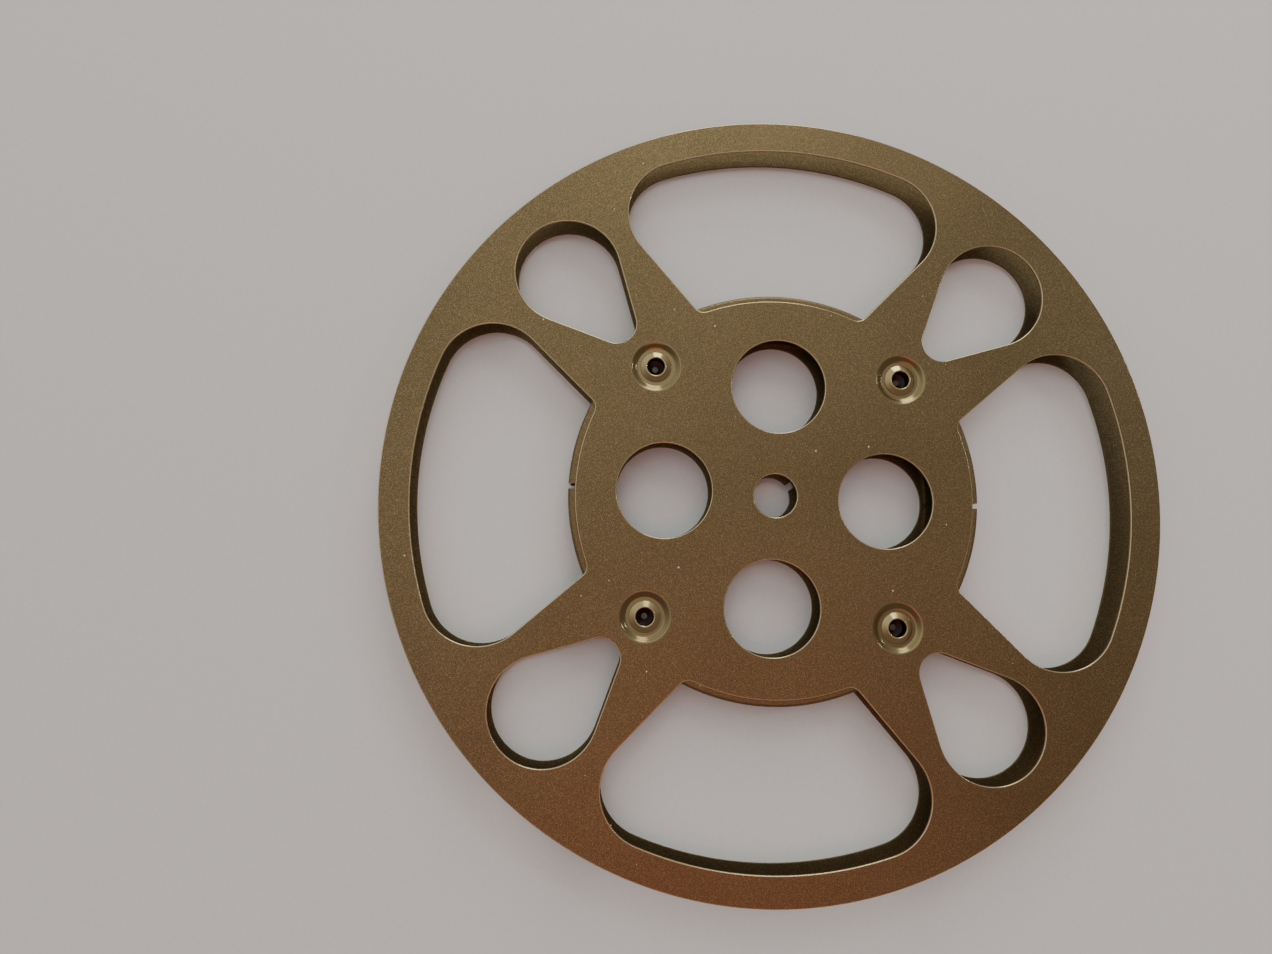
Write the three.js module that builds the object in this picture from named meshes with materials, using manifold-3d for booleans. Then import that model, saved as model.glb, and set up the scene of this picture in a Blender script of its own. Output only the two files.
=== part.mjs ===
// A motion-picture film reel: two pressed steel flanges with eight openings each, a hollow core
// in two halves between them, and four hollow rivets that clamp the flanges over spacer sleeves.
// Millimetres, +Z up. The reel lies on its rear flange with its axis on Z, and the origin is at
// the middle of its underside.

import * as THREE from 'three'
import { mergeVertices } from 'three/addons/utils/BufferGeometryUtils.js'
import Module from 'manifold-3d'

const wasm = await Module()
wasm.setup()

// ---- driving dimensions ----

const FLANGE_RADIUS = 117.5
const SHEET = 0.7 // thickness of the flange steel
const FILM_GAP = 9.1 // clear width between the flanges, for 8 mm film
const PLAY = 0.3 // gap kept between pieces that touch

const RIM_WIDTH = 9.2 // from the flange's edge to the openings
const HUB_DISC_RADIUS = 59.8 // the flange's middle disc, where the windows start

const WINDOW_FOOT_ANGLE = THREE.MathUtils.degToRad(24.35) // half angle at the hub disc
const WINDOW_SIDE_ANGLE = THREE.MathUtils.degToRad(42.5) // lean of the straight sides
const WINDOW_CORNER_RADIUS = 16.4 // beside the rim
const WINDOW_FOOT_RADIUS = 3.5 // beside the hub disc

const DROP_OUTER = { centre: 92.7, radius: 16 } // the teardrop's wide end
const DROP_INNER = { centre: 70.7, radius: 6 } // and its narrow end

const HOLE_CIRCLE = 33.3 // the four round holes
const HOLE_RADIUS = 14.25

const FRONT_BORE_RADIUS = 6.5
const REAR_BORE_RADIUS = 6.4
const KEYWAY_COUNT = 3
const KEYWAY_ANGLE = THREE.MathUtils.degToRad(33)
const KEYWAY_WIDTH = 2
const KEYWAY_REACH = 8.4 // from the axis to the end of a keyway

const RIVET_CIRCLE = 52.9
const DISH_RADIUS = 7.7 // the pressed dish that a rivet sits in
const DISH_FLOOR_RADIUS = 5.5
const DISH_DEPTH = 1
const RIVET_HOLE_RADIUS = 3.5
const RIVET_SHANK_RADIUS = 3.2
const RIVET_BORE_RADIUS = 2.6
const RIVET_BORE_DEPTH = 4.5
const RIVET_BORE_FLAT_RADIUS = 0.9 // the flat at the bottom of the bore
const RIVET_BORE_CONE = 0.8 // height of the cone round it
const RIVET_BEAD_RADIUS = 4.4 // the rolled end
const RIVET_BEAD_ROLL = 0.15 // how far the bead's shoulders fall below its crest
const RIVET_HEAD_RADIUS = 4.8
const RIVET_HEAD_SET = 0.05 // how far the head stays above the flange's outer face
const RIVET_HEAD_CHAMFER = { width: 0.6, rise: 0.3 }
const SLEEVE_RADIUS = 4.7

const CORE_RADIUS = 61.9
const CORE_SHEET = 0.6
const CORE_LIP = 13.1 // how far the lips reach in from the wall
const CORE_BEND_RADIUS = 1
const FILM_SLOT = 1.6 // between the two core halves
const LIP_NOTCH_RADIUS = DISH_RADIUS + PLAY

const ARC_STEP = 7 // longest straight run along an arc
const ARC_ANGLE = THREE.MathUtils.degToRad(15)
const CORE_SEGMENTS = 72
const DISH_SEGMENTS = 20
const BORE_SEGMENTS = 16
const DISH_WALL_STEPS = [0, 0.3, 0.7, 1] // from the dish's floor to its edge

const QUARTERS = [0, 1, 2, 3].map((i) => (i * Math.PI) / 2)
const DIAGONALS = QUARTERS.map((angle) => angle + Math.PI / 4)

const REEL_WIDTH = FILM_GAP + 2 * SHEET

// ---- materials ----

const bronzePaint = new THREE.MeshStandardMaterial({ color: 0x7d6d4c, roughness: 0.5, metalness: 0.6 })
const platedSteel = new THREE.MeshStandardMaterial({ color: 0x8f8063, roughness: 0.3, metalness: 0.9 })
const bareSteel = new THREE.MeshStandardMaterial({ color: 0x9a9a9a, roughness: 0.35, metalness: 1 })

// ---- outlines, as lists of points ----

const polar = (radius, angle) => new THREE.Vector2(radius * Math.cos(angle), radius * Math.sin(angle))

// Points along an arc, spaced by angle on a tight arc and by length on a wide one.
function arc(centre, radius, from, to) {
  const sweep = Math.abs(to - from)
  const steps = Math.ceil(Math.max((sweep * radius) / ARC_STEP, sweep / ARC_ANGLE))
  const points = []
  for (let i = 0; i <= steps; i++) {
    points.push(polar(radius, from + ((to - from) * i) / steps).add(centre))
  }
  return points
}

// Drops each point that repeats the one before it.
function outline(...stretches) {
  const points = stretches.flat()
  return points.filter((point, i) => point.distanceTo(points.at(i - 1)) > 1e-4)
}

const turn = (points, angle) => points.map((p) => p.clone().rotateAround(new THREE.Vector2(), angle))
const mirror = (points) => points.map((p) => new THREE.Vector2(p.x, -p.y)).reverse()

// Four quarter arcs, so that a circle has its full width along X and Y.
function circle(centre, radius) {
  return outline(...QUARTERS.map((angle) => arc(centre, radius, angle, angle + Math.PI / 2)))
}

// The centre of a round corner that touches the window's straight side and lies at a given
// distance from the reel's axis.
function cornerCentre(radius, distance) {
  const along = polar(1, WINDOW_SIDE_ANGLE)
  const inward = new THREE.Vector2(along.y, -along.x)
  const start = polar(HUB_DISC_RADIUS, WINDOW_FOOT_ANGLE).addScaledVector(inward, radius)
  const reach = start.dot(along)
  const travel = Math.sqrt(reach ** 2 - start.lengthSq() + distance ** 2) - reach
  return start.addScaledVector(along, travel)
}

// A large window on the +X axis: an arc beside the rim, two straight leaning sides with round
// corners, and an arc along the hub disc.
function windowOutline() {
  const centre = new THREE.Vector2()
  const outerRadius = FLANGE_RADIUS - RIM_WIDTH
  const corner = cornerCentre(WINDOW_CORNER_RADIUS, outerRadius - WINDOW_CORNER_RADIUS)
  const foot = cornerCentre(WINDOW_FOOT_RADIUS, HUB_DISC_RADIUS + WINDOW_FOOT_RADIUS)
  const toSide = WINDOW_SIDE_ANGLE + Math.PI / 2
  const half = [
    ...arc(corner, WINDOW_CORNER_RADIUS, corner.angle(), toSide),
    ...arc(foot, WINDOW_FOOT_RADIUS, toSide, foot.angle() + Math.PI),
  ]
  return outline(
    arc(centre, outerRadius, -corner.angle(), corner.angle()),
    half,
    arc(centre, HUB_DISC_RADIUS, foot.angle(), -foot.angle()),
    mirror(half),
  )
}

// A teardrop on the +X axis: two circles joined by their outer tangents.
function dropOutline() {
  const spacing = DROP_OUTER.centre - DROP_INNER.centre
  const lean = Math.acos((DROP_INNER.radius - DROP_OUTER.radius) / spacing)
  return outline(
    arc(new THREE.Vector2(DROP_OUTER.centre, 0), DROP_OUTER.radius, -lean, lean),
    arc(new THREE.Vector2(DROP_INNER.centre, 0), DROP_INNER.radius, lean, 2 * Math.PI - lean),
  )
}

// The rear flange's spindle hole, a circle with square keyways for the spindle's fins.
function keyedBoreOutline() {
  const centre = new THREE.Vector2()
  const pitch = (2 * Math.PI) / KEYWAY_COUNT
  const halfWidth = KEYWAY_WIDTH / 2
  const mouth = Math.asin(halfWidth / REAR_BORE_RADIUS)
  const stretches = []
  for (let i = 0; i < KEYWAY_COUNT; i++) {
    const angle = KEYWAY_ANGLE + i * pitch
    const end = [new THREE.Vector2(KEYWAY_REACH, -halfWidth), new THREE.Vector2(KEYWAY_REACH, halfWidth)]
    stretches.push(turn(end, angle))
    stretches.push(arc(centre, REAR_BORE_RADIUS, angle + mouth, angle + pitch - mouth))
  }
  return outline(...stretches)
}

// ---- solids ----

function solidOf(geometry) {
  geometry.deleteAttribute('normal')
  geometry.deleteAttribute('uv')
  const merged = mergeVertices(geometry)
  const corners = merged.index.array
  const triangles = []
  for (let i = 0; i < corners.length; i += 3) {
    const [a, b, c] = corners.slice(i, i + 3)
    if (a !== b && b !== c && c !== a) triangles.push(a, b, c) // a lathe's pole has flat triangles
  }
  return new wasm.Manifold(
    new wasm.Mesh({
      numProp: 3,
      vertProperties: Float32Array.from(merged.attributes.position.array),
      triVerts: Uint32Array.from(triangles),
    }),
  )
}

function geometryOf(solid) {
  const mesh = solid.getMesh()
  const geometry = new THREE.BufferGeometry()
  geometry.setAttribute('position', new THREE.BufferAttribute(mesh.vertProperties, 3))
  geometry.setIndex(new THREE.BufferAttribute(mesh.triVerts, 1))
  geometry.computeVertexNormals()
  return geometry
}

// A body turned about Z from points (radius, height) that run up its outside.
function turned(profile, segments) {
  const points = profile.map(([radius, height]) => new THREE.Vector2(radius, height))
  return new THREE.LatheGeometry(points, segments).rotateX(Math.PI / 2)
}

function turnedAt(profile, segments, place) {
  return solidOf(turned(profile, segments).translate(place.x, place.y, 0))
}

// The dish's surface below the flange's face, a smooth S from its edge down to its floor.
function dishDepth(radius) {
  const run = (DISH_RADIUS - radius) / (DISH_RADIUS - DISH_FLOOR_RADIUS)
  return DISH_DEPTH * THREE.MathUtils.smoothstep(run, 0, 1)
}

// ---- pieces ----

// A flange with its outer face at height 0 and its dishes pressed in below it.
function flange(boreOutline) {
  const shape = new THREE.Shape(circle(new THREE.Vector2(), FLANGE_RADIUS))
  const holes = [boreOutline]
  for (const angle of QUARTERS) {
    holes.push(turn(windowOutline(), angle))
    holes.push(circle(polar(HOLE_CIRCLE, angle), HOLE_RADIUS))
  }
  for (const angle of DIAGONALS) {
    holes.push(turn(dropOutline(), angle))
  }
  shape.holes = holes.map((points) => new THREE.Path(points))
  const sheet = new THREE.ExtrudeGeometry(shape, { depth: SHEET, bevelEnabled: false, steps: 1 })
  let solid = solidOf(sheet.translate(0, 0, -SHEET))

  const wall = DISH_WALL_STEPS.map((t) => THREE.MathUtils.lerp(DISH_FLOOR_RADIUS, DISH_RADIUS, t))
  const under = wall.map((radius) => [radius, -SHEET - dishDepth(radius)])
  const boss = [[0, -SHEET - DISH_DEPTH], ...under, [DISH_RADIUS, -SHEET / 2], [0, -SHEET / 2]]
  const recess = [[0, -DISH_DEPTH], ...wall.map((radius) => [radius, -dishDepth(radius)])]
  recess.push([DISH_RADIUS, SHEET], [0, SHEET])
  const through = SHEET + DISH_DEPTH + PLAY
  const hole = [[0, -through], [RIVET_HOLE_RADIUS, -through], [RIVET_HOLE_RADIUS, SHEET], [0, SHEET]]
  for (const angle of DIAGONALS) {
    const place = polar(RIVET_CIRCLE, angle)
    solid = solid.add(turnedAt(boss, DISH_SEGMENTS, place))
    solid = solid.subtract(turnedAt(recess, DISH_SEGMENTS, place))
    solid = solid.subtract(turnedAt(hole, BORE_SEGMENTS, place))
  }
  return geometryOf(solid)
}

// Half of the hollow core: a channel bent round the reel's axis, open to the middle, its two
// lips notched round the dishes. side is 1 for the half in +Y and -1 for the half in -Y.
function coreHalf(side) {
  const low = SHEET + PLAY
  const high = REEL_WIDTH - low
  const lipEdge = CORE_RADIUS - CORE_LIP
  const inside = CORE_RADIUS - CORE_SHEET
  const bend = (height, from) =>
    [0, 1, 2].map((i) => {
      const corner = new THREE.Vector2(CORE_RADIUS - CORE_BEND_RADIUS, height)
      const point = polar(CORE_BEND_RADIUS, from + (i * Math.PI) / 4).add(corner)
      return [point.x, point.y]
    })
  const channel = [
    [lipEdge, low],
    ...bend(low + CORE_BEND_RADIUS, -Math.PI / 2),
    ...bend(high - CORE_BEND_RADIUS, 0),
    [lipEdge, high],
    [lipEdge, high - CORE_SHEET],
    [inside, high - CORE_SHEET],
    [inside, low + CORE_SHEET],
    [lipEdge, low + CORE_SHEET],
    [lipEdge, low],
  ]
  const span = 2 * FLANGE_RADIUS
  const keep = new THREE.BoxGeometry(span, span, span).translate(0, (side * (span + FILM_SLOT)) / 2, 0)
  let solid = solidOf(turned(channel, CORE_SEGMENTS)).intersect(solidOf(keep))
  const notch = [[0, -PLAY], [LIP_NOTCH_RADIUS, -PLAY], [LIP_NOTCH_RADIUS, REEL_WIDTH], [0, REEL_WIDTH]]
  for (const angle of DIAGONALS) {
    solid = solid.subtract(turnedAt(notch, DISH_SEGMENTS, polar(RIVET_CIRCLE, angle)))
  }
  return geometryOf(solid)
}

// A hollow rivet, head down: a flat head in the rear dish, and a blind bore whose mouth is
// rolled outwards into a bead in the front dish.
function rivet() {
  const headTop = DISH_DEPTH - PLAY
  const beadBottom = REEL_WIDTH - DISH_DEPTH + PLAY
  const beadShoulder = REEL_WIDTH - RIVET_BEAD_ROLL
  const beadAt = (t) => THREE.MathUtils.lerp(RIVET_BORE_RADIUS, RIVET_BEAD_RADIUS, t)
  const boreBottom = REEL_WIDTH - RIVET_BORE_DEPTH
  return turned(
    [
      [0, RIVET_HEAD_SET],
      [RIVET_HEAD_RADIUS - RIVET_HEAD_CHAMFER.width, RIVET_HEAD_SET],
      [RIVET_HEAD_RADIUS, RIVET_HEAD_SET + RIVET_HEAD_CHAMFER.rise],
      [RIVET_HEAD_RADIUS, headTop],
      [RIVET_SHANK_RADIUS, headTop],
      [RIVET_SHANK_RADIUS, beadBottom],
      [RIVET_BEAD_RADIUS, beadBottom],
      [beadAt(0.8), beadShoulder],
      [beadAt(0.5), REEL_WIDTH],
      [beadAt(0.2), beadShoulder],
      [RIVET_BORE_RADIUS, beadBottom],
      [RIVET_BORE_RADIUS, boreBottom + RIVET_BORE_CONE],
      [RIVET_BORE_FLAT_RADIUS, boreBottom],
      [0, boreBottom],
    ],
    DISH_SEGMENTS,
  )
}

// The sleeve round a rivet's shank, which keeps the two dishes apart.
function sleeve() {
  const low = DISH_DEPTH + SHEET + PLAY
  const high = REEL_WIDTH - low
  return turned(
    [
      [RIVET_HOLE_RADIUS, low],
      [SLEEVE_RADIUS, low],
      [SLEEVE_RADIUS, high],
      [RIVET_HOLE_RADIUS, high],
      [RIVET_HOLE_RADIUS, low],
    ],
    BORE_SEGMENTS,
  )
}

// ---- the reel ----

const reel = new THREE.Group()

function addPiece(name, geometry, material) {
  const mesh = new THREE.Mesh(geometry, material)
  mesh.name = name
  reel.add(mesh)
  return mesh
}

const frontBore = circle(new THREE.Vector2(), FRONT_BORE_RADIUS)
const frontFlange = addPiece('front_flange', flange(frontBore), bronzePaint)
frontFlange.position.z = REEL_WIDTH

// The rear flange is turned over, which mirrors its bore, so the bore is mirrored beforehand.
const rearBore = mirror(keyedBoreOutline())
const rearFlange = addPiece('rear_flange', flange(rearBore), bronzePaint)
rearFlange.rotation.x = Math.PI

addPiece('core_half_1', coreHalf(1), bronzePaint)
addPiece('core_half_2', coreHalf(-1), bronzePaint)

DIAGONALS.forEach((angle, i) => {
  const place = polar(RIVET_CIRCLE, angle)
  addPiece(`rivet_${i + 1}`, rivet(), platedSteel).position.set(place.x, place.y, 0)
  addPiece(`spacer_sleeve_${i + 1}`, sleeve(), bareSteel).position.set(place.x, place.y, 0)
})

export default reel
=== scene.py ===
# A motion-picture film reel: two pressed steel flanges, a hollow core in two halves, four hollow
# rivets and their spacer sleeves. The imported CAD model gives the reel's outer sizes and heights, and
# the sizes below repeat its details. This script replaces its plain solids with finely rounded
# meshes, paints them and lights them.
# Metres, +Z up, the reel lying on its rear flange.

import math

import bpy
from mathutils import Matrix, Vector
from mathutils.geometry import delaunay_2d_cdt


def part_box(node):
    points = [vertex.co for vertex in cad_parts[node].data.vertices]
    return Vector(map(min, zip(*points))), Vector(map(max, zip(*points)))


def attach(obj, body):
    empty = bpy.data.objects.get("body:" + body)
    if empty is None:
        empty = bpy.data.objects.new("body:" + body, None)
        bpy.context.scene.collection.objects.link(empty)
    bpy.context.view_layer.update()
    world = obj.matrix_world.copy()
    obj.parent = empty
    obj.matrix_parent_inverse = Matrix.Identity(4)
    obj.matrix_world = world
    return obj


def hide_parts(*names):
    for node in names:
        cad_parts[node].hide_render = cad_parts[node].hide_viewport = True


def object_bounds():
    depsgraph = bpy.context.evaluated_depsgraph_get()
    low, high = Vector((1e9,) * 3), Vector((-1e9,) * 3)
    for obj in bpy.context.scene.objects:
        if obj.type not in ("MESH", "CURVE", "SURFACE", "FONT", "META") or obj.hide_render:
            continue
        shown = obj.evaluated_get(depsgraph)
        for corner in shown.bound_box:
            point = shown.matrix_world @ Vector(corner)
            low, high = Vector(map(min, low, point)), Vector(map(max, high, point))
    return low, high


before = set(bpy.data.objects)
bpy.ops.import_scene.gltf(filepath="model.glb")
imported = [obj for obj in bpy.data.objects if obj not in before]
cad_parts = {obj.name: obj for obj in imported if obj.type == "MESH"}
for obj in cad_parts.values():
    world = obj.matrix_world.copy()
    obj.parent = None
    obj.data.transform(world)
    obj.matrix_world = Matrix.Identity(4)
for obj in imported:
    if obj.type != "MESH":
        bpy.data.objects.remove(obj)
cad_low, cad_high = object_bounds()

# ---- sizes ----

MM = 0.001

FLANGE_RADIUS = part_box("front_flange")[1].x
REEL_WIDTH = cad_high.z
SHEET = 0.7 * MM  # thickness of the flange steel
FACE_EDGE_RADIUS = 0.26 * MM  # the rolled-over edge on a flange's outer face
BACK_EDGE_RADIUS = 0.12 * MM  # and the crisper one on its inner face

RIM_WIDTH = 9.2 * MM
HUB_DISC_RADIUS = 59.8 * MM
WINDOW_FOOT_ANGLE = math.radians(24.35)
WINDOW_SIDE_ANGLE = math.radians(42.5)
WINDOW_CORNER_RADIUS = 16.4 * MM
WINDOW_FOOT_RADIUS = 3.5 * MM

DROP_OUTER_CENTRE = 92.7 * MM
DROP_OUTER_RADIUS = 16 * MM
DROP_INNER_CENTRE = 70.7 * MM
DROP_INNER_RADIUS = 6 * MM

HOLE_CIRCLE = 33.3 * MM
HOLE_RADIUS = 14.25 * MM

FRONT_BORE_RADIUS = 6.5 * MM
REAR_BORE_RADIUS = 6.4 * MM
KEYWAY_COUNT = 3
KEYWAY_ANGLE = math.radians(33)
KEYWAY_WIDTH = 2 * MM
KEYWAY_REACH = 8.4 * MM
KEYWAY_CORNER = 0.3 * MM

RIVET_CIRCLE = 52.9 * MM
DISH_RADIUS = 7.7 * MM
DISH_FLOOR_RADIUS = 5.5 * MM
DISH_DEPTH = 1 * MM
DISH_WALL_STEPS = 12
RIVET_HOLE_RADIUS = 3.5 * MM
RIVET_SHANK_RADIUS = 3.2 * MM
RIVET_BORE_RADIUS = 2.6 * MM
RIVET_BORE_DEPTH = 4.5 * MM
RIVET_BORE_CONE = 0.8 * MM
RIVET_BORE_FLAT_RADIUS = 0.9 * MM
RIVET_BEAD_RADIUS = 4.7 * MM  # where the rolled bead meets the dish's floor
RIVET_LIP_RADIUS = 0.35 * MM  # the bead's round lip at the mouth of the bore
RIVET_BEAD_TOE = 0.3 * MM
RIVET_BEAD_LEAN = math.radians(58)  # tilt of the bead's flank
RIVET_HEAD_RADIUS = 4.8 * MM
RIVET_HEAD_SET = 0.05 * MM  # how far the head stays inside the rear flange's outer face
RIVET_HEAD_RISE = 0.35 * MM  # how far its dome stands out
RIVET_DOME_END = math.radians(-10)  # where the dome's curve stops, short of a full quarter
RIVET_HEAD_EDGE = 0.25 * MM
RIVET_HEAD_EDGE_START = math.radians(-60)  # where the head's rounded edge takes over
SLEEVE_CHAMFER = 0.25 * MM

core_box_low, core_box_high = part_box("core_half_1")
CORE_RADIUS = core_box_high.y
CORE_LOW = core_box_low.z
CORE_HIGH = core_box_high.z
CORE_SLOT_HALF = core_box_low.y  # each core half ends this far from y = 0, at the film slots
CORE_SHEET = 0.6 * MM
CORE_LIP = 13.1 * MM
CORE_BEND_RADIUS = 1 * MM
LIP_NOTCH_RADIUS = 8 * MM
CORE_STEPS = 96

ARC_ERROR = 0.012 * MM  # how far a chord may fall inside its arc
BEND_STEPS = 5
RIVET_LIP_STEPS = 10
FACE_BEND = [math.radians(tilt) for tilt in (90, 67.5, 45, 22.5, 0)]  # tilts round a face edge
BACK_BEND = [math.radians(tilt) for tilt in (0, -45, -90)]  # and round a back edge
SHARP_TURN = math.radians(30)  # a corner that turns further is softened
SOFTENING_STEPS = 5
SAME_POINT = 0.01 * MM  # outline points nearer than this are one
SAME_PLACE = 0.001 * MM  # the grid on which mesh corners share a vertex
CDT_ERROR = 1e-9  # how near delaunay_2d_cdt takes two points to be one
CDT_INSIDE = 1  # its output type for the triangles inside the outlines
QUARTERS = [i * math.pi / 2 for i in range(4)]
DIAGONALS = [angle + math.pi / 4 for angle in QUARTERS]

MIDDLE = Vector((0, 0))
UP = Vector((0, 0, 1))


# ---- outlines: lists of 2-D points, anticlockwise ----


def polar(radius, angle):
    return Vector((radius * math.cos(angle), radius * math.sin(angle)))


def arc(centre, radius, start, end):
    step = 2 * math.acos(1 - ARC_ERROR / radius)
    count = math.ceil(abs(end - start) / step)
    return [centre + polar(radius, start + (end - start) * i / count) for i in range(count + 1)]


def joined(*stretches):
    """One closed outline, without each point that repeats the one before it."""
    points = [point for stretch in stretches for point in stretch]
    return [point for i, point in enumerate(points) if (point - points[i - 1]).length > SAME_POINT]


def circle(centre, radius):
    """Four quarter arcs, so that a circle has its full width along X and Y."""
    return joined(*(arc(centre, radius, angle, angle + math.pi / 2) for angle in QUARTERS))


def turned(points, angle):
    turn = Matrix.Rotation(angle, 2)
    return [turn @ point for point in points]


def mirrored(points):
    return [Vector((point.x, -point.y)) for point in reversed(points)]


def angle_of(point):
    return math.atan2(point.y, point.x)


def corner_centre(radius, distance):
    """The centre of a round corner that touches a window's straight side, at a distance from the
    axis."""
    along = polar(1, WINDOW_SIDE_ANGLE)
    inward = Vector((along.y, -along.x))
    start = polar(HUB_DISC_RADIUS, WINDOW_FOOT_ANGLE) + inward * radius
    reach = start.dot(along)
    return start + along * (math.sqrt(reach**2 - start.length_squared + distance**2) - reach)


def window_outline():
    """Two concentric arcs and two straight sides, with round corners between them."""
    outer_radius = FLANGE_RADIUS - RIM_WIDTH
    corner = corner_centre(WINDOW_CORNER_RADIUS, outer_radius - WINDOW_CORNER_RADIUS)
    foot = corner_centre(WINDOW_FOOT_RADIUS, HUB_DISC_RADIUS + WINDOW_FOOT_RADIUS)
    to_side = WINDOW_SIDE_ANGLE + math.pi / 2
    half = arc(corner, WINDOW_CORNER_RADIUS, angle_of(corner), to_side)
    half += arc(foot, WINDOW_FOOT_RADIUS, to_side, angle_of(foot) + math.pi)
    return joined(
        arc(MIDDLE, outer_radius, -angle_of(corner), angle_of(corner)),
        half,
        arc(MIDDLE, HUB_DISC_RADIUS, angle_of(foot), -angle_of(foot)),
        mirrored(half),
    )


def drop_outline():
    """A teardrop: two circles joined by their outer tangents."""
    spacing = DROP_OUTER_CENTRE - DROP_INNER_CENTRE
    lean = math.acos((DROP_INNER_RADIUS - DROP_OUTER_RADIUS) / spacing)
    return joined(
        arc(Vector((DROP_OUTER_CENTRE, 0)), DROP_OUTER_RADIUS, -lean, lean),
        arc(Vector((DROP_INNER_CENTRE, 0)), DROP_INNER_RADIUS, lean, 2 * math.pi - lean),
    )


def softened(points, cut):
    """The outline with each sharp corner rounded off, from a distance before it to as far after it."""
    smooth = []
    for i, corner in enumerate(points):
        into = (corner - points[i - 1]).normalized()
        out = (points[(i + 1) % len(points)] - corner).normalized()
        if into.dot(out) > math.cos(SHARP_TURN):
            smooth.append(corner)
            continue
        start = corner - into * cut
        end = corner + out * cut
        for step in range(SOFTENING_STEPS + 1):
            t = step / SOFTENING_STEPS
            smooth.append(start.lerp(corner, t).lerp(corner.lerp(end, t), t))
    return smooth


def keyed_bore_outline():
    """The rear flange's spindle hole, a circle with square keyways for the spindle's fins."""
    pitch = 2 * math.pi / KEYWAY_COUNT
    half_width = KEYWAY_WIDTH / 2
    mouth = math.asin(half_width / REAR_BORE_RADIUS)
    stretches = []
    for i in range(KEYWAY_COUNT):
        angle = KEYWAY_ANGLE + i * pitch
        end = [Vector((KEYWAY_REACH, -half_width)), Vector((KEYWAY_REACH, half_width))]
        stretches.append(turned(end, angle))
        stretches.append(arc(MIDDLE, REAR_BORE_RADIUS, angle + mouth, angle + pitch - mouth))
    return softened(joined(*stretches), KEYWAY_CORNER)


# ---- a mesh with exact normals ----


class Skin:
    """Gathers faces whose corners are (place, normal) pairs. Corners at one place share a vertex, and
    each face keeps its own normals there, so flat faces shade flat."""

    def __init__(self):
        self.places = []
        self.index = {}
        self.faces = []
        self.normals = []
        self.finishes = []

    def vertex(self, place):
        key = tuple(round(value / SAME_PLACE) for value in place)
        if key not in self.index:
            self.index[key] = len(self.places)
            self.places.append(place)
        return self.index[key]

    def face(self, corners, finish=0):
        indices = [self.vertex(place) for place, normal in corners]
        kept = [i for i, index in enumerate(indices) if index != indices[i - 1]]
        if len(kept) < 3:
            return
        self.faces.append([indices[i] for i in kept])
        self.normals += [corners[i][1] for i in kept]
        self.finishes.append(finish)

    def strip(self, first, second, finish=0, closed=True):
        """Faces between two rings of corners, seen from outside with the second ring above the first."""
        for i in range(0 if closed else 1, len(first)):
            self.face([first[i - 1], first[i], second[i], second[i - 1]], finish)

    def flat(self, rim, holes, height, side, finish=0):
        """A level face at a height, with holes, looking up for side 1 and down for side -1."""
        points = []
        edges = []
        for ring in [rim, *holes]:
            first = len(points)
            edges += [(first + i, first + (i + 1) % len(ring)) for i in range(len(ring))]
            points += ring
        made, _, triangles, *_ = delaunay_2d_cdt(points, edges, [], CDT_INSIDE, CDT_ERROR)
        normal = UP * side
        for triangle in triangles:
            corners = [made[i] for i in triangle]
            middle = sum(corners, Vector((0, 0))) / 3
            if any(encloses(hole, middle) for hole in holes) or not encloses(rim, middle):
                continue
            self.face([(point.to_3d() + UP * height, normal) for point in corners[::side]], finish)

    def piece(self, name, materials, matrix):
        """The finished mesh object, in the place that matrix gives."""
        turn = matrix.to_3x3()
        mesh = bpy.data.meshes.new(name)
        mesh.from_pydata([matrix @ place for place in self.places], [], self.faces)
        for material in materials:
            mesh.materials.append(material)
        mesh.polygons.foreach_set("material_index", self.finishes)
        mesh.polygons.foreach_set("use_smooth", [True] * len(self.faces))
        mesh.normals_split_custom_set([turn @ normal for normal in self.normals])
        made = bpy.data.objects.new(name, mesh)
        bpy.context.scene.collection.objects.link(made)
        return made


def encloses(ring, point):
    """True when a line from the point towards +X crosses the ring an odd number of times."""
    inside = False
    for i, corner in enumerate(ring):
        before = ring[i - 1]
        if (corner.y > point.y) != (before.y > point.y):
            slant = (corner.x - before.x) / (corner.y - before.y)
            inside = inside != (point.x < before.x + (point.y - before.y) * slant)
    return inside


def outward(points, closed=True):
    """The level direction to the right of the path at each of its points."""
    directions = []
    for i, point in enumerate(points):
        before = points[i - 1] if closed or i > 0 else point
        after = points[(i + 1) % len(points)] if closed or i + 1 < len(points) else point
        into = (point - before).normalized() + (after - point).normalized()
        directions.append(Vector((into.y, -into.x)).normalized())
    return directions


def tilted(direction, tilt):
    """A level direction raised by an angle."""
    return (direction * math.cos(tilt)).to_3d() + UP * math.sin(tilt)


def level(ring):
    """A ring of corners as 2-D points."""
    return [place.to_2d() for place, normal in ring]


def ring_inside(points, directions, inset, height, tilt):
    """A ring of corners: an outline drawn in from its edge by inset, at a height."""
    return [
        ((point - direction * inset).to_3d() + UP * height, tilted(direction, tilt))
        for point, direction in zip(points, directions)
    ]


def lathe(skin, centre, profile, finishes):
    """A surface turned about an upright axis, from (radius, height, tilt) rings whose solid lies on
    the left of the way along them. finishes gives each strip's material. Returns the first ring."""
    widest = max(radius for radius, height, tilt in profile)
    count = math.ceil(math.pi / math.acos(1 - ARC_ERROR / widest) / 4) * 4
    angles = [2 * math.pi * i / count for i in range(count)]
    rings = []
    for radius, height, tilt in profile:
        ring = [centre.to_3d() + polar(radius, a).to_3d() + UP * height for a in angles]
        rings.append([(place, tilted(polar(1, a), tilt)) for place, a in zip(ring, angles)])
    for first, second, finish in zip(rings, rings[1:], finishes):
        skin.strip(first, second, finish)
    return level(rings[0])


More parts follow.
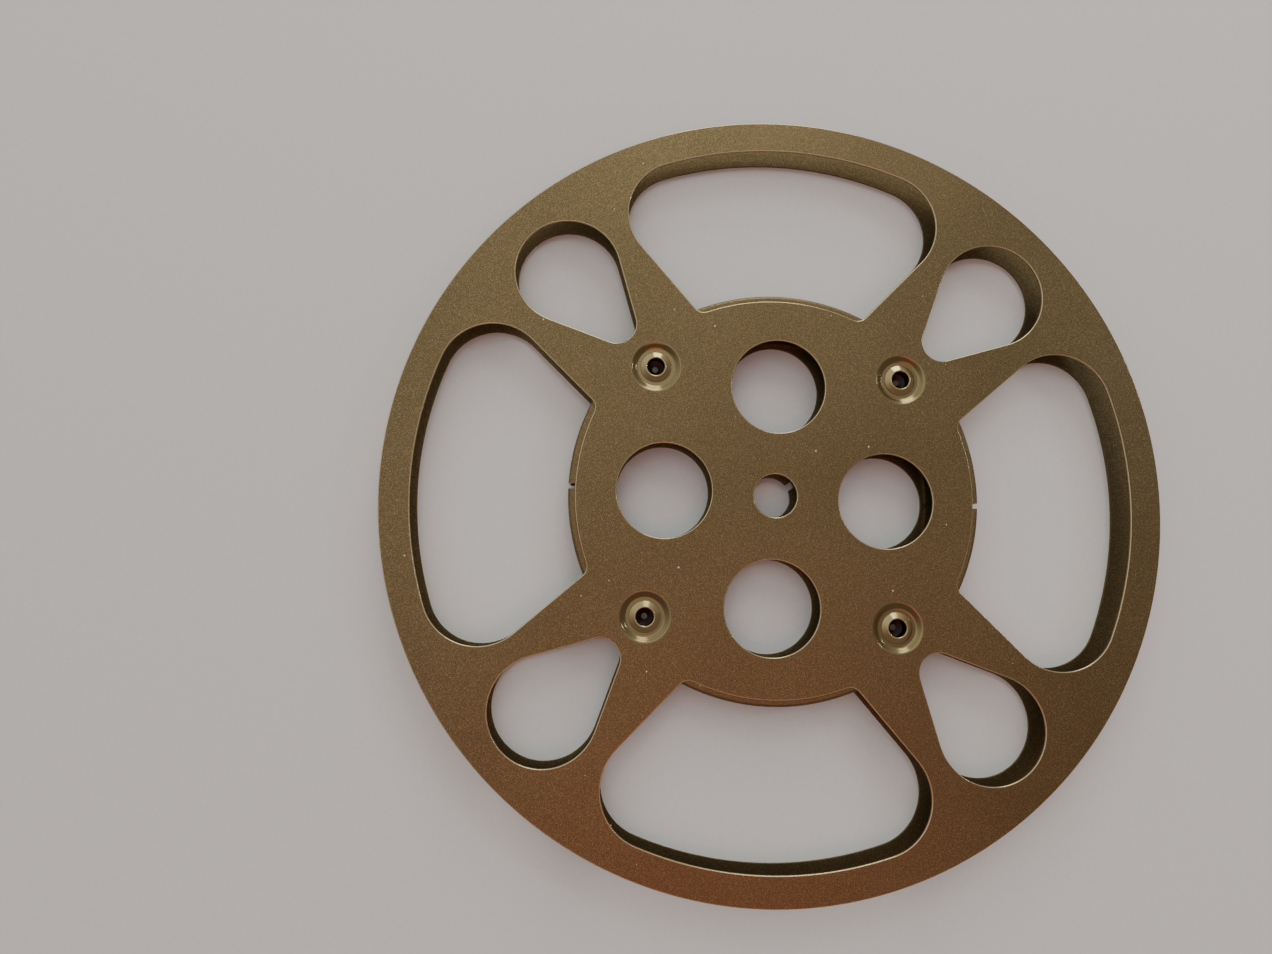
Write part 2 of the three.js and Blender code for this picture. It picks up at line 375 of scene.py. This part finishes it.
def bend(centre_radius, centre_height, width, rise, start, end, steps=BEND_STEPS):
    """A round stretch of a profile: part of an ellipse, from a start angle to an end angle."""
    corners = []
    for i in range(steps + 1):
        angle = start + (end - start) * i / steps
        place = (centre_radius + width * math.cos(angle), centre_height + rise * math.sin(angle))
        tilt = math.atan2(math.sin(angle) / rise, math.cos(angle) / width)
        corners.append((*place, tilt))
    return corners


# ---- materials ----

PATTERN_LOW, PATTERN_HIGH = 0.3, 0.7  # the span that most of a noise's values fall in

PAINT_DARK = (0.102, 0.077, 0.0365, 1)
PAINT_LIGHT = (0.149, 0.112, 0.0555, 1)
PAINT_METALLIC = 0.88
GRAIN_SIZE = 0.25 * MM
GRAIN_TONE = 0.6  # the most that the grain adds on the way from dark to light
GRAIN_ROUGHNESS = 0.03
GRAIN_HEIGHT = 0.015 * MM
CLOUD_SIZE = 45 * MM
CLOUD_TONE = 0.4
CLOUD_ROUGHNESS = 0.02

FLAKE_SIZE = 0.16 * MM
FLAKE_LEAN = 0.12
FLAKE_DULL, FLAKE_BRIGHT = 0.84, 2.0  # how a flake scales the paint's colour
FLAKE_RARITY = 4  # the power that keeps bright flakes few
COLOUR_MIDDLE = (0.5, 0.5, 0.5)

DUST_COLOUR = (0.6, 0.54, 0.42, 1)
DUST_SPACING = 4 * MM
DUST_REACH = 0.075  # the widest speck's radius, as a share of the spacing
DUST_RARITY = 4

MARK_SIZE = 1.2 * MM  # turning marks on bare steel
MARK_STRETCH = (1, 1, 12)  # they run round the axis, so they are fine along Z
MARK_HEIGHT = 0.03 * MM
MARK_SMOOTHER, MARK_ROUGHER = 0.08, 0.1
STAIN_SIZE = 3 * MM
STAIN_LOW, STAIN_HIGH = 0.35, 0.65
STAIN_SHADE = 0.7


def new_material(name):
    material = bpy.data.materials.new(name)
    material.use_nodes = True
    return material, material.node_tree, material.node_tree.nodes["Principled BSDF"]


def add_node(tree, kind, inputs, **settings):
    """Adds a shader node. An input given as another node's output is linked, any other value is set."""
    made = tree.nodes.new("ShaderNode" + kind)
    for key, value in settings.items():
        setattr(made, key, value)
    for key, value in inputs.items():
        connect(tree, value, made.inputs[key])
    return made


def connect(tree, value, socket):
    if isinstance(value, bpy.types.NodeSocket):
        tree.links.new(value, socket)
    else:
        socket.default_value = value


def object_place(tree):
    return add_node(tree, "TexCoord", {}).outputs["Object"]


def noise(tree, place, size, detail=2.0, roughness=0.5):
    """Smooth noise from 0 to 1 with features of about a size in metres."""
    made = add_node(tree, "TexNoise", {"Vector": place, "Scale": 1 / size, "Detail": detail})
    made.inputs["Roughness"].default_value = roughness
    return made.outputs["Fac"]


def remap(tree, value, low, high, new_low, new_high):
    ends = {"From Min": low, "From Max": high, "To Min": new_low, "To Max": new_high}
    return add_node(tree, "MapRange", {"Value": value, **ends}).outputs["Result"]


def compute(tree, operation, first, second):
    return add_node(tree, "Math", {0: first, 1: second}, operation=operation).outputs["Value"]


def compute_vector(tree, operation, inputs):
    return add_node(tree, "VectorMath", inputs, operation=operation).outputs["Vector"]


def blend_colour(tree, factor, first, second, blend_type="MIX"):
    made = tree.nodes.new("ShaderNodeMix")
    made.data_type = "RGBA"
    made.blend_type = blend_type
    sockets = {socket.identifier: socket for socket in made.inputs}
    connect(tree, factor, sockets["Factor_Float"])
    connect(tree, first, sockets["A_Color"])
    connect(tree, second, sockets["B_Color"])
    return next(s for s in made.outputs if s.identifier == "Result_Color")


def paint_patterns(tree, place):
    """The paint's fine grain and its broad unevenness."""
    grain = noise(tree, place, GRAIN_SIZE, detail=2, roughness=0.6)
    cloud = noise(tree, place, CLOUD_SIZE, detail=3)
    return grain, cloud


def paint_tone(tree, grain, cloud, dark, light):
    """The paint's colour, from dark to light."""
    fine = remap(tree, grain, PATTERN_LOW, PATTERN_HIGH, 0, GRAIN_TONE)
    broad = remap(tree, cloud, PATTERN_LOW, PATTERN_HIGH, 0, CLOUD_TONE)
    return blend_colour(tree, compute(tree, "ADD", fine, broad), dark, light)


def paint_roughness(tree, grain, cloud, middle):
    low, high = middle - GRAIN_ROUGHNESS, middle + GRAIN_ROUGHNESS
    fine = remap(tree, grain, PATTERN_LOW, PATTERN_HIGH, low, high)
    broad = remap(tree, cloud, PATTERN_LOW, PATTERN_HIGH, -CLOUD_ROUGHNESS, CLOUD_ROUGHNESS)
    return compute(tree, "ADD", fine, broad)


def cells(tree, place, size):
    """Random cells of about a size in metres. Outputs each cell's colour, one random value from 0 to
    1, and the distance from its middle."""
    made = add_node(tree, "TexVoronoi", {"Vector": place, "Scale": 1 / size})
    colour = made.outputs["Color"]
    value = add_node(tree, "SeparateColor", {"Color": colour}).outputs["Red"]
    return colour, value, made.outputs["Distance"]


def dust_specks(tree, place):
    """1 on a speck of dust and 0 elsewhere."""
    _, value, distance = cells(tree, place, DUST_SPACING)
    reach = compute(tree, "MULTIPLY", compute(tree, "POWER", value, DUST_RARITY), DUST_REACH)
    return compute(tree, "LESS_THAN", distance, reach)


def flake_normals(tree, flakes):
    """The surface's normal, leaning a random way on each flake."""
    normal = add_node(tree, "NewGeometry", {}).outputs["Normal"]
    lean = compute_vector(tree, "SUBTRACT", {0: flakes, 1: COLOUR_MIDDLE})
    lean = compute_vector(tree, "SCALE", {0: lean, "Scale": FLAKE_LEAN})
    leaning = compute_vector(tree, "ADD", {0: normal, 1: lean})
    return compute_vector(tree, "NORMALIZE", {0: leaning})


def bronze_paint(name, roughness):
    """Bronze metallic paint: fine flakes that each lean their own way, and a few specks of dust."""
    material, tree, shader = new_material(name)
    place = object_place(tree)
    grain, cloud = paint_patterns(tree, place)
    flakes, flake, _ = cells(tree, place, FLAKE_SIZE)
    brightness = compute(tree, "POWER", flake, FLAKE_RARITY)
    glitter = remap(tree, brightness, 0, 1, FLAKE_DULL, FLAKE_BRIGHT)
    paint = paint_tone(tree, grain, cloud, PAINT_DARK, PAINT_LIGHT)
    paint = blend_colour(tree, 1.0, paint, glitter, "MULTIPLY")
    dust = dust_specks(tree, place)
    tree.links.new(blend_colour(tree, dust, paint, DUST_COLOUR), shader.inputs["Base Color"])
    tree.links.new(remap(tree, dust, 0, 1, PAINT_METALLIC, 0), shader.inputs["Metallic"])
    tree.links.new(paint_roughness(tree, grain, cloud, roughness), shader.inputs["Roughness"])
    heights = {"Height": grain, "Strength": 0.3, "Distance": GRAIN_HEIGHT}
    bump = add_node(tree, "Bump", {**heights, "Normal": flake_normals(tree, flakes)})
    tree.links.new(bump.outputs["Normal"], shader.inputs["Normal"])
    return material


def smooth_bronze(name, dark, light, roughness):
    """Bronze without flakes, pressed smooth. Its uses below give it lighter colours than the flaked
    paint, a painted highlight.
    """
    material, tree, shader = new_material(name)
    grain, cloud = paint_patterns(tree, object_place(tree))
    tree.links.new(paint_tone(tree, grain, cloud, dark, light), shader.inputs["Base Color"])
    tree.links.new(paint_roughness(tree, grain, cloud, roughness), shader.inputs["Roughness"])
    shader.inputs["Metallic"].default_value = PAINT_METALLIC
    bump = add_node(tree, "Bump", {"Height": grain, "Strength": 0.2, "Distance": GRAIN_HEIGHT})
    tree.links.new(bump.outputs["Normal"], shader.inputs["Normal"])
    return material


def turned_steel(name, colour, roughness):
    """Bare steel with fine turning marks round the axis."""
    material, tree, shader = new_material(name)
    place = object_place(tree)
    stretched = add_node(tree, "Mapping", {"Vector": place, "Scale": MARK_STRETCH}).outputs["Vector"]
    marks = noise(tree, stretched, MARK_SIZE, detail=4, roughness=0.7)
    stain = noise(tree, place, STAIN_SIZE, detail=3)
    shade = tuple(STAIN_SHADE * value for value in colour[:3]) + (1,)
    metal = blend_colour(tree, remap(tree, stain, STAIN_LOW, STAIN_HIGH, 0, 1), shade, colour)
    tree.links.new(metal, shader.inputs["Base Color"])
    shader.inputs["Metallic"].default_value = 1.0
    low, high = roughness - MARK_SMOOTHER, roughness + MARK_ROUGHER
    rough = remap(tree, marks, PATTERN_LOW, PATTERN_HIGH, low, high)
    tree.links.new(rough, shader.inputs["Roughness"])
    bump = add_node(tree, "Bump", {"Height": marks, "Strength": 0.4, "Distance": MARK_HEIGHT})
    tree.links.new(bump.outputs["Normal"], shader.inputs["Normal"])
    return material


flange_face = bronze_paint("flange_face", roughness=0.43)
# The edges' bronze is about three times lighter than the paint: a painted highlight along the rounded
# edges.
edge_bronze_painted_highlight = smooth_bronze(
    "edge_bronze_painted_highlight", dark=(0.35, 0.29, 0.165, 1), light=(0.46, 0.385, 0.235, 1), roughness=0.22
)
# The dishes' bronze is lighter than the paint: a painted highlight on the pressed dishes.
dish_bronze_painted_highlight = smooth_bronze(
    "dish_bronze_painted_highlight", dark=(0.155, 0.124, 0.058, 1), light=(0.2, 0.16, 0.078, 1), roughness=0.18
)
core_face = bronze_paint("core_face", roughness=0.42)
# The rivets' bronze is more than twice as light as the paint: a painted highlight on the heads and
# rolled beads.
rivet_bronze_painted_highlight = smooth_bronze(
    "rivet_bronze_painted_highlight", dark=(0.28, 0.23, 0.12, 1), light=(0.34, 0.28, 0.145, 1), roughness=0.15
)
# Near-black steel down the deep bore: painted shade.
rivet_bore_painted_shade = turned_steel("rivet_bore_painted_shade", colour=(0.04, 0.03, 0.027, 1), roughness=0.45)
# The bore's floor is bare grey steel, darkened: partly its own colour, partly painted shade.
rivet_bore_floor_steel_and_painted_shade = turned_steel("rivet_bore_floor_steel_and_painted_shade", colour=(0.11, 0.10, 0.09, 1), roughness=0.45)
sleeve_steel = turned_steel("sleeve_steel", colour=(0.5, 0.5, 0.49, 1), roughness=0.3)


# ---- the reel's pieces ----

# Places in a sheet piece's list of materials, and in a rivet's. The edge, dish and rivet-outside
# materials carry a painted highlight, and the bore's wall and floor painted shade.
FACE = 0
EDGE_PAINTED_HIGHLIGHT = 1
DISH_PAINTED_HIGHLIGHT = 2
RIVET_OUTSIDE_PAINTED_HIGHLIGHT = 0
RIVET_BORE_WALL_PAINTED_SHADE = 1
RIVET_BORE_FLOOR_STEEL_AND_SHADE = 2

# Down a flange's cut edge: the face's rounded edge takes the lighter edge bronze, a painted highlight,
# and the wall and back edge don't.
EDGE_FINISHES = [EDGE_PAINTED_HIGHLIGHT] * 4 + [FACE] * 3


def placed(piece, node):
    """Puts a finished piece in the place of its CAD node."""
    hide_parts(node)
    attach(piece, "root")


def edge_rings(points, side):
    """The rings of a flange's cut edge, from its outer face at height 0 to its inner face. side is 1
    for the flange's rim, and -1 for a hole, whose free side is its inside."""
    directions = [direction * side for direction in outward(points)]
    rings = []
    for radius, middle, tilts in (
        (FACE_EDGE_RADIUS, -FACE_EDGE_RADIUS, FACE_BEND),
        (BACK_EDGE_RADIUS, BACK_EDGE_RADIUS - SHEET, BACK_BEND),
    ):
        for tilt in tilts:
            inset = radius * (1 - math.cos(tilt))
            height = middle + radius * math.sin(tilt)
            rings.append(ring_inside(points, directions, inset, height, tilt))
    return rings


def dish_wall(start_height, side):
    """The dish's pressed wall from its edge in to its floor, a smooth S. side 1 looks up, -1 down."""
    wall = []
    width = DISH_RADIUS - DISH_FLOOR_RADIUS
    for i in range(DISH_WALL_STEPS + 1):
        t = i / DISH_WALL_STEPS
        depth = DISH_DEPTH * t * t * (3 - 2 * t)
        slope = DISH_DEPTH * 6 * t * (1 - t) / width
        tilt = side * math.pi / 2 + math.atan(slope)
        wall.append((DISH_RADIUS - width * t, start_height - depth, tilt))
    return wall


def dish_profile():
    """A dish's top from its edge in to the rivet's hole, and its underside back out."""
    floor = -DISH_DEPTH
    underside = floor - SHEET
    hole = [(RIVET_HOLE_RADIUS, floor, math.pi / 2), (RIVET_HOLE_RADIUS, floor, math.pi)]
    hole += [(RIVET_HOLE_RADIUS, underside, math.pi), (RIVET_HOLE_RADIUS, underside, -math.pi / 2)]
    return dish_wall(0, 1) + hole + dish_wall(-SHEET, -1)[::-1]


def flange_openings(bore):
    openings = [bore]
    for angle in QUARTERS:
        openings.append(turned(window_outline(), angle))
        openings.append(circle(polar(HOLE_CIRCLE, angle), HOLE_RADIUS))
    for angle in DIAGONALS:
        openings.append(turned(drop_outline(), angle))
    return openings


def flange(name, bore, materials, matrix):
    """A flange with its outer face at height 0, looking up, and four dishes pressed in round the
    rivet holes; matrix puts it in its place."""
    skin = Skin()
    face_holes = []
    back_holes = []
    for points in flange_openings(bore):
        rings = edge_rings(points, -1)
        for upper, lower, finish in zip(rings, rings[1:], EDGE_FINISHES):
            skin.strip(upper, lower, finish)
        face_holes.append(level(rings[0]))
        back_holes.append(level(rings[-1]))

    profile = dish_profile()
    for angle in DIAGONALS:
        # The dishes take the lighter dish bronze, a painted highlight.
        mouth = lathe(skin, polar(RIVET_CIRCLE, angle), profile, [DISH_PAINTED_HIGHLIGHT] * (len(profile) - 1))
        face_holes.append(mouth)
        back_holes.append(mouth)

    rings = edge_rings(circle(MIDDLE, FLANGE_RADIUS), 1)
    for upper, lower, finish in zip(rings, rings[1:], EDGE_FINISHES):
        skin.strip(lower, upper, finish)
    skin.flat(level(rings[0]), face_holes, 0, 1, FACE)
    skin.flat(level(rings[-1]), back_holes, -SHEET, -1, FACE)
    return skin.piece(name, materials, matrix)


def slot_angle(radius):
    """The angle at which a circle about the axis meets the film slot's wall."""
    return math.asin(CORE_SLOT_HALF / radius)


def core_ring(radius, height, tilt):
    """A ring of the core's sweep in +Y, from one film slot to the other, ending level with their
    walls."""
    start = slot_angle(radius)
    span = math.pi - 2 * start
    corners = []
    for i in range(CORE_STEPS + 1):
        angle = start + span * i / CORE_STEPS
        place = polar(radius, angle).to_3d() + UP * height
        corners.append((place, tilted(polar(1, angle), tilt)))
    return corners


def lip_stretches():
    """The free edge of a core lip as separate smooth stretches, after the arc where the lip bends
    into the wall: a slot's end, the inner edge with its two notches round the dishes, and the other
    slot's end."""
    bend_start = CORE_RADIUS - CORE_BEND_RADIUS
    edge = CORE_RADIUS - CORE_LIP
    cosine = (RIVET_CIRCLE**2 + edge**2 - LIP_NOTCH_RADIUS**2) / (2 * RIVET_CIRCLE * edge)
    half_notch = math.acos(cosine)
    last = math.pi - slot_angle(edge)
    stretches = [[polar(bend_start, math.pi - slot_angle(bend_start)), polar(edge, last)]]
    for angle in (DIAGONALS[1], DIAGONALS[0]):
        stretches.append(arc(MIDDLE, edge, last, angle + half_notch))
        notch_centre = polar(RIVET_CIRCLE, angle)
        mouth = polar(edge, angle + half_notch) - notch_centre
        swing = (angle_of(mouth) - angle) % (2 * math.pi)
        stretches.append(arc(notch_centre, LIP_NOTCH_RADIUS, angle + swing, angle - swing))
        last = angle - half_notch
    start = slot_angle(edge)
    stretches.append(arc(MIDDLE, edge, last, start))
    stretches.append([polar(edge, start), polar(bend_start, slot_angle(bend_start))])
    return stretches


def channel_profile(radius):
    """The channel's wall with its two bends of a radius, from the lower lip up to the upper one."""
    start = CORE_RADIUS - CORE_BEND_RADIUS
    low = CORE_LOW + CORE_BEND_RADIUS
    high = CORE_HIGH - CORE_BEND_RADIUS
    lower = bend(start, low, radius, radius, -math.pi / 2, 0)
    return lower + bend(start, high, radius, radius, 0, math.pi / 2)


def core_wall(skin):
    """The wall between the lips, closed at the film slots. Returns its lowest outer ring."""
    outside = channel_profile(CORE_BEND_RADIUS)
    inside = channel_profile(CORE_BEND_RADIUS - CORE_SHEET)
    outer = [core_ring(*corner) for corner in outside]
    inner = [core_ring(radius, height, tilt + math.pi) for radius, height, tilt in inside]
    for i in range(1, len(outer)):
        skin.strip(outer[i - 1], outer[i], FACE, closed=False)
        skin.strip(inner[i], inner[i - 1], FACE, closed=False)
        for end, order in ((0, 1), (-1, -1)):
            wall = [outer[i - 1][end], outer[i][end], inner[i][end], inner[i - 1][end]]
            # The slot ends take the lighter edge bronze, a painted highlight.
            skin.face([(place, Vector((0, -1, 0))) for place, normal in wall][::order], EDGE_PAINTED_HIGHLIGHT)
    return outer[0]


def core_lip(skin, outline, stretches, lower, upper):
    """A lip between two heights. Its free edge follows the stretches."""
    skin.flat(outline, [], upper, 1, FACE)
    skin.flat(outline, [], lower, -1, FACE)
    for stretch in stretches:
        directions = outward(stretch, closed=False)
        rings = [ring_inside(stretch, directions, 0, height, 0) for height in (lower, upper)]
        # The lip's free edge takes the lighter edge bronze, a painted highlight.
        skin.strip(*rings, EDGE_PAINTED_HIGHLIGHT, closed=False)


def core_half(name, materials, matrix):
    """Half of the core: a channel open to the middle, with a lip under each flange."""
    skin = Skin()
    outline = level(core_wall(skin))
    stretches = lip_stretches()
    for stretch in stretches:
        outline += stretch[1:]
    outline.pop()  # the last stretch ends where the outline starts
    core_lip(skin, outline, stretches, CORE_LOW, CORE_LOW + CORE_SHEET)
    core_lip(skin, outline, stretches, CORE_HIGH - CORE_SHEET, CORE_HIGH)
    return skin.piece(name, materials, matrix)


def rivet_outside():
    """A rivet's profile from the middle of its head up to the inside of the bore's lip."""
    floor = REEL_WIDTH - DISH_DEPTH
    brim = RIVET_HEAD_RADIUS - RIVET_HEAD_EDGE
    dome_middle = RIVET_HEAD_SET + RIVET_HEAD_RISE
    dome = bend(0, dome_middle, brim, RIVET_HEAD_RISE, -math.pi / 2, RIVET_DOME_END)
    edge_middle = dome[-1][1] + RIVET_HEAD_EDGE
    edge = bend(brim, edge_middle, RIVET_HEAD_EDGE, RIVET_HEAD_EDGE, RIVET_HEAD_EDGE_START, 0)
    shank = [(RIVET_HEAD_RADIUS, DISH_DEPTH, 0), (RIVET_HEAD_RADIUS, DISH_DEPTH, math.pi / 2)]
    shank += [(RIVET_SHANK_RADIUS, DISH_DEPTH, math.pi / 2), (RIVET_SHANK_RADIUS, DISH_DEPTH, 0)]
    shank += [(RIVET_SHANK_RADIUS, floor, 0), (RIVET_SHANK_RADIUS, floor, -math.pi / 2)]
    shank += [(RIVET_BEAD_RADIUS, floor, -math.pi / 2)]
    toe_middle = RIVET_BEAD_RADIUS - RIVET_BEAD_TOE
    toe = bend(toe_middle, floor, RIVET_BEAD_TOE, RIVET_BEAD_TOE, 0, RIVET_BEAD_LEAN)
    lip = bend(
        RIVET_BORE_RADIUS + RIVET_LIP_RADIUS, REEL_WIDTH - RIVET_LIP_RADIUS,
        RIVET_LIP_RADIUS, RIVET_LIP_RADIUS, RIVET_BEAD_LEAN, math.pi, RIVET_LIP_STEPS,
    )
    return dome + edge + shank + toe + lip


def rivet(name, centre, materials):
    """A hollow rivet: a low domed head in the rear dish, and a blind bore whose mouth is rolled
    outwards over the front dish's floor."""
    skin = Skin()
    bottom = REEL_WIDTH - RIVET_BORE_DEPTH
    cone = math.atan2(RIVET_BORE_CONE, RIVET_BORE_RADIUS - RIVET_BORE_FLAT_RADIUS) + math.pi / 2
    outside = rivet_outside()
    bore = [(RIVET_BORE_RADIUS, bottom + RIVET_BORE_CONE, tilt) for tilt in (math.pi, cone)]
    bore += [(RIVET_BORE_FLAT_RADIUS, bottom, tilt) for tilt in (cone, math.pi / 2)]
    # The rivet's outside takes a painted highlight, and its bore's wall and floor painted shade.
    finishes = [RIVET_OUTSIDE_PAINTED_HIGHLIGHT] * (len(outside) - 1)
    finishes += [RIVET_BORE_WALL_PAINTED_SHADE] * len(bore) + [RIVET_BORE_FLOOR_STEEL_AND_SHADE]
    lathe(skin, centre, outside + bore + [(0, bottom, math.pi / 2)], finishes)
    return skin.piece(name, materials, Matrix.Identity(4))


def sleeve(name, node, centre, materials):
    """The sleeve between the two dishes, with chamfered ends."""
    skin = Skin()
    box_low, box_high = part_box(node)
    low, high = box_low.z, box_high.z
    inside, outside = RIVET_HOLE_RADIUS, (box_high.x - box_low.x) / 2
    cut = SLEEVE_CHAMFER
    corners = [(inside + cut, low), (outside - cut, low), (outside, low + cut), (outside, high - cut)]
    corners += [(outside - cut, high), (inside + cut, high), (inside, high - cut), (inside, low + cut)]
    profile = []
    for i, start in enumerate(corners):
        end = corners[(i + 1) % len(corners)]
        tilt = (i - 2) * math.pi / 4  # the first side looks down, and each next one turns by 45 degrees
        profile += [(*start, tilt), (*end, tilt)]
    lathe(skin, centre, profile, [0] * (len(profile) - 1))
    return skin.piece(name, materials, Matrix.Identity(4))


flange_materials = [flange_face, edge_bronze_painted_highlight, dish_bronze_painted_highlight]
front_bore = circle(MIDDLE, FRONT_BORE_RADIUS)
front = flange("front_flange_plate", front_bore, flange_materials, Matrix.Translation(UP * REEL_WIDTH))
placed(front, "front_flange")

# The rear flange is turned over, which mirrors its bore, so the bore is mirrored beforehand.
rear_bore = mirrored(keyed_bore_outline())
rear = flange("rear_flange_plate", rear_bore, flange_materials, Matrix.Rotation(math.pi, 4, "X"))
placed(rear, "rear_flange")

core_materials = [core_face, edge_bronze_painted_highlight]
for i, angle in enumerate((0, math.pi)):
    node = f"core_half_{i + 1}"
    half = core_half(f"{node}_channel", core_materials, Matrix.Rotation(angle, 4, "Z"))
    placed(half, node)

rivet_materials = [rivet_bronze_painted_highlight, rivet_bore_painted_shade, rivet_bore_floor_steel_and_painted_shade]
for i, angle in enumerate(DIAGONALS):
    centre = polar(RIVET_CIRCLE, angle)
    node = f"rivet_{i + 1}"
    placed(rivet(f"{node}_turned", centre, rivet_materials), node)
    node = f"spacer_sleeve_{i + 1}"
    placed(sleeve(f"{node}_turned", node, centre, [sleeve_steel]), node)


# ---- floor, light and camera ----

FLOOR_WIDTH = 6
FLOOR_GAP = 0.1 * MM  # between the floor and the reel
FLOOR_FIBRE = 1.5 * MM
FLOOR_DARK = (0.58, 0.61, 0.62, 1)
FLOOR_LIGHT = (0.64, 0.67, 0.68, 1)

BRIGHT_SIDE = Vector((-0.35, 0.75, 0.56))  # the direction of the room's bright side
BRIGHT_COLOUR = (1.17, 1.14, 1.06, 1)
DIM_COLOUR = (0.31, 0.232, 0.2, 1)
DIM_END, BRIGHT_END = -0.1, 0.9  # how far a direction lies towards the bright side, as a cosine
BRIGHT_FALL = 2

# Each lamp's place, size, power in watts and colour. They all face the middle of the reel.
LAMPS = {
    "key": ((0.15, 1.0, 0.85), (0.5, 0.35), 2.6, (1, 0.97, 0.9)),
    "warm_bounce": ((0.1, -0.45, 1.05), (0.7, 0.5), 1.6, (1, 0.22, 0.16)),
    "edge_light": ((0.1, 1.25, 0.42), (0.6, 0.46), 5.5, (1, 0.92, 0.76)),
    "window": ((1.0, 0.38, 0.75), (0.12, 0.12), 0.9, (0.75, 0.9, 1)),
    "ceiling": ((-0.3, 0.3, 1.6), (1.6, 1.2), 2.8, (0.95, 0.98, 1)),
}

CAMERA_PLACE = (-0.04912, -0.02267, 0.24684)
CAMERA_TARGET = (-0.0419, 0.0035, 0.0105)
CAMERA_HEADING = math.radians(92.7)  # the level direction at the top of its picture
CAMERA_LENS = 22.64
CAMERA_SENSOR = 36
CAMERA_CLIP = 0.01


def pale_floor():
    mesh = bpy.data.meshes.new("floor")
    half = FLOOR_WIDTH / 2
    corners = [(-half, -half), (half, -half), (half, half), (-half, half)]
    mesh.from_pydata([(x, y, -FLOOR_GAP) for x, y in corners], [], [(0, 1, 2, 3)])
    material, tree, shader = new_material("floor_paper")
    fibres = noise(tree, object_place(tree), FLOOR_FIBRE, detail=3)
    paper = blend_colour(tree, fibres, FLOOR_DARK, FLOOR_LIGHT)
    tree.links.new(paper, shader.inputs["Base Color"])
    shader.inputs["Roughness"].default_value = 0.8
    shader.inputs["Specular IOR Level"].default_value = 0.2
    mesh.materials.append(material)
    floor = bpy.data.objects.new("floor", mesh)
    bpy.context.scene.collection.objects.link(floor)


def studio_world():
    """A soft room: its bright side is behind the reel, and it fades to a dim warm side."""
    world = bpy.data.worlds.new("studio")
    world.use_nodes = True
    tree = world.node_tree
    direction = add_node(tree, "TexCoord", {}).outputs["Generated"]
    side = add_node(tree, "VectorMath", {0: direction, 1: BRIGHT_SIDE}, operation="DOT_PRODUCT")
    share = remap(tree, side.outputs["Value"], DIM_END, BRIGHT_END, 0, 1)
    share = compute(tree, "POWER", share, BRIGHT_FALL)
    colour = blend_colour(tree, share, DIM_COLOUR, BRIGHT_COLOUR)
    tree.links.new(colour, tree.nodes["Background"].inputs["Color"])
    bpy.context.scene.world = world


def soft_light(name, place, size, power, colour):
    lamp = bpy.data.lights.new(name, "AREA")
    lamp.shape = "RECTANGLE"
    lamp.size, lamp.size_y = size
    lamp.energy = power
    lamp.color = colour
    made = bpy.data.objects.new(name, lamp)
    made.location = place
    made.rotation_euler = (-Vector(place)).to_track_quat("-Z", "Y").to_euler()
    bpy.context.scene.collection.objects.link(made)


def photographer():
    """The camera, nearly above the reel and to the left of its axis."""
    data = bpy.data.cameras.new("camera")
    data.sensor_fit = "HORIZONTAL"
    data.sensor_width = CAMERA_SENSOR
    data.lens = CAMERA_LENS
    data.clip_start = CAMERA_CLIP
    camera = bpy.data.objects.new("camera", data)
    look = (Vector(CAMERA_TARGET) - Vector(CAMERA_PLACE)).normalized()
    right = look.cross(polar(1, CAMERA_HEADING).to_3d()).normalized()
    turn = Matrix((right, right.cross(look), -look)).transposed()
    camera.matrix_world = Matrix.Translation(CAMERA_PLACE) @ turn.to_4x4()
    bpy.context.scene.collection.objects.link(camera)
    bpy.context.scene.camera = camera


pale_floor()
studio_world()
for name, lamp in LAMPS.items():
    soft_light(name, *lamp)
photographer()
